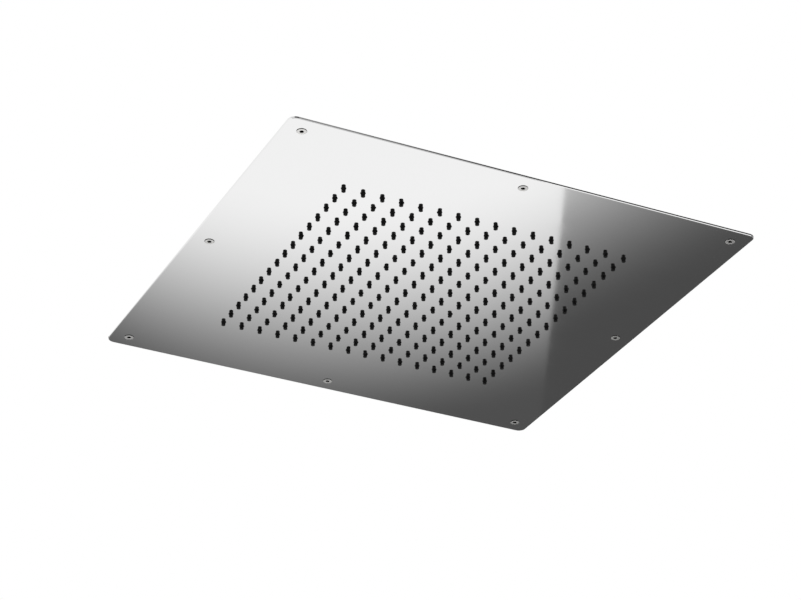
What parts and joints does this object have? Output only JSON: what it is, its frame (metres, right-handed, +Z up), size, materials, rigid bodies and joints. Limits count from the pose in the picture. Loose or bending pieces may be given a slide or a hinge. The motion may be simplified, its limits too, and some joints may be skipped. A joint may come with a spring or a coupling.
{
  "type": "rain shower head",
  "caption": "Square ceiling rain shower head: mirror-polished steel sheet with rim screws and a square field of silicone nozzles, closed behind by a pressed water chamber with a threaded inlet.",
  "frame": {"origin": "centre of the faceplate's back, in the plane that meets the ceiling frame", "axes": "+Z up into the ceiling and along the screws, +X and +Y along the faceplate's sides, water leaves along -Z"},
  "size_m": [0.5, 0.5, 0.0427],
  "materials": {
    "polished_steel": "mirror polished",
    "silicone": "moulded, matt",
    "screw_steel": "cold formed, satin",
    "satin_steel": "cold rolled sheet, satin",
    "seal_rubber": "cut from sheet, matt",
    "brass": "turned",
    "acetal": "moulded"
  },
  "bodies": {
    "root": {"faceplate": "polished_steel", "spray_nozzles": "silicone", "plate_screws": "screw_steel", "back_pan": "satin_steel", "chamber_gasket": "seal_rubber", "rim_studs": "screw_steel", "rim_washers": "screw_steel", "rim_nuts": "screw_steel", "stay_posts": "screw_steel", "stay_seals": "seal_rubber", "stay_bolts": "screw_steel", "inlet_boss": "brass", "boss_seal": "seal_rubber", "locknut_washer": "screw_steel", "boss_locknut": "brass", "restrictor_seal": "seal_rubber", "flow_restrictor": "acetal", "filter_screen": "satin_steel", "filter_washer": "seal_rubber", "diffuser_plate": "satin_steel"}
  },
  "joints": []
}
